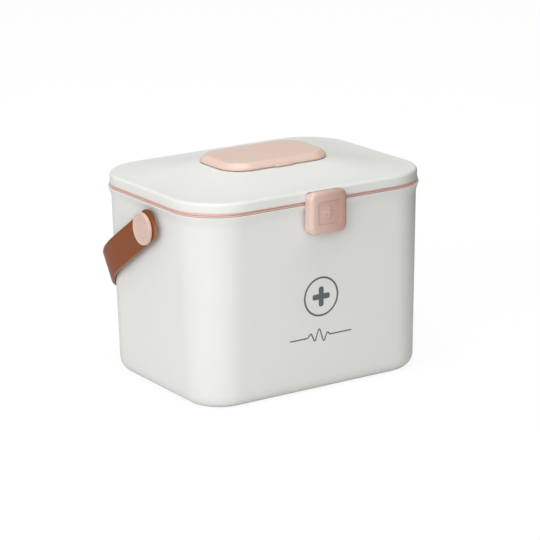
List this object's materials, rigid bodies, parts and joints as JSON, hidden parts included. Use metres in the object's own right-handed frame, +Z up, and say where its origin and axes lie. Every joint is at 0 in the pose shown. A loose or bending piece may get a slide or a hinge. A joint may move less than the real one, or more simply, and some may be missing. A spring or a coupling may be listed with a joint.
{
  "type": "medicine box",
  "caption": "Lidded medicine box with a front latch, a swinging carrying strap, a lift-out divided tray and a covered pill cup in the crowned lid.",
  "frame": {"origin": "middle of the tub's flat base, on the surface that the box stands on", "axes": "+Z up; -Y towards the latch side; +X to the right when facing the latch"},
  "size_m": [0.2786, 0.2487, 0.211],
  "materials": {
    "tub_white": "satin injection-moulded polypropylene",
    "lid_white": "satin injection-moulded polypropylene",
    "seal_blush": "matte moulded silicone",
    "latch_pink": "satin moulded ABS with a recessed panel",
    "cap_blush": "satin moulded ABS with a turned rim",
    "cover_blush": "satin moulded ABS",
    "strap_brown": "smooth moulded strap with a fine leather grain",
    "tray_frosted": "frosted moulded polypropylene",
    "divider_frosted": "frosted moulded polypropylene",
    "cup_frosted": "frosted moulded polypropylene",
    "pin_steel": "drawn steel wire",
    "screw_steel": "zinc-plated steel",
    "washer_steel": "zinc-plated steel"
  },
  "bodies": {
    "box": {"body_tub": "tub_white", "hinge_pin_left": "pin_steel", "hinge_pin_right": "pin_steel", "strap_cap_left": "cap_blush", "strap_cap_right": "cap_blush", "cap_screw_left": "screw_steel", "cap_screw_right": "screw_steel", "cap_washer_left": "washer_steel", "cap_washer_right": "washer_steel"},
    "lid": {"lid_shell": "lid_white", "seal_ring": "seal_blush", "latch_pin": "pin_steel", "pill_cup": "cup_frosted", "pill_cover_pin": "pin_steel"},
    "latch": {"latch": "latch_pink"},
    "pill_cover": {"pill_cover": "cover_blush"},
    "strap": {"strap_handle": "strap_brown"},
    "tray": {"tray": "tray_frosted", "tray_divider_left": "divider_frosted", "tray_divider_right": "divider_frosted"}
  },
  "joints": [
    {"name": "lid_hinge", "type": "hinge", "parent": "box", "child": "lid", "pos_m": [0, 0.1055, 0.184], "axis": [-1, 0, 0], "range_deg": [0, 105]},
    {"name": "latch_hinge", "type": "hinge", "parent": "lid", "child": "latch", "pos_m": [0, -0.1047, 0.1895], "axis": [-1, 0, 0], "range_deg": [0, 110]},
    {"name": "pill_cover_hinge", "type": "hinge", "parent": "lid", "child": "pill_cover", "pos_m": [0, 0.0398, 0.2065], "axis": [-1, 0, 0], "range_deg": [0, 110]},
    {"name": "strap_pivot", "type": "hinge", "parent": "box", "child": "strap", "pos_m": [0, -0.0095, 0.1594], "axis": [1, 0, 0], "range_deg": [0, 254]},
    {"name": "tray_lift", "type": "slide", "parent": "box", "child": "tray", "axis": [0, 0, 1], "range_m": [0, 0.006]}
  ]
}
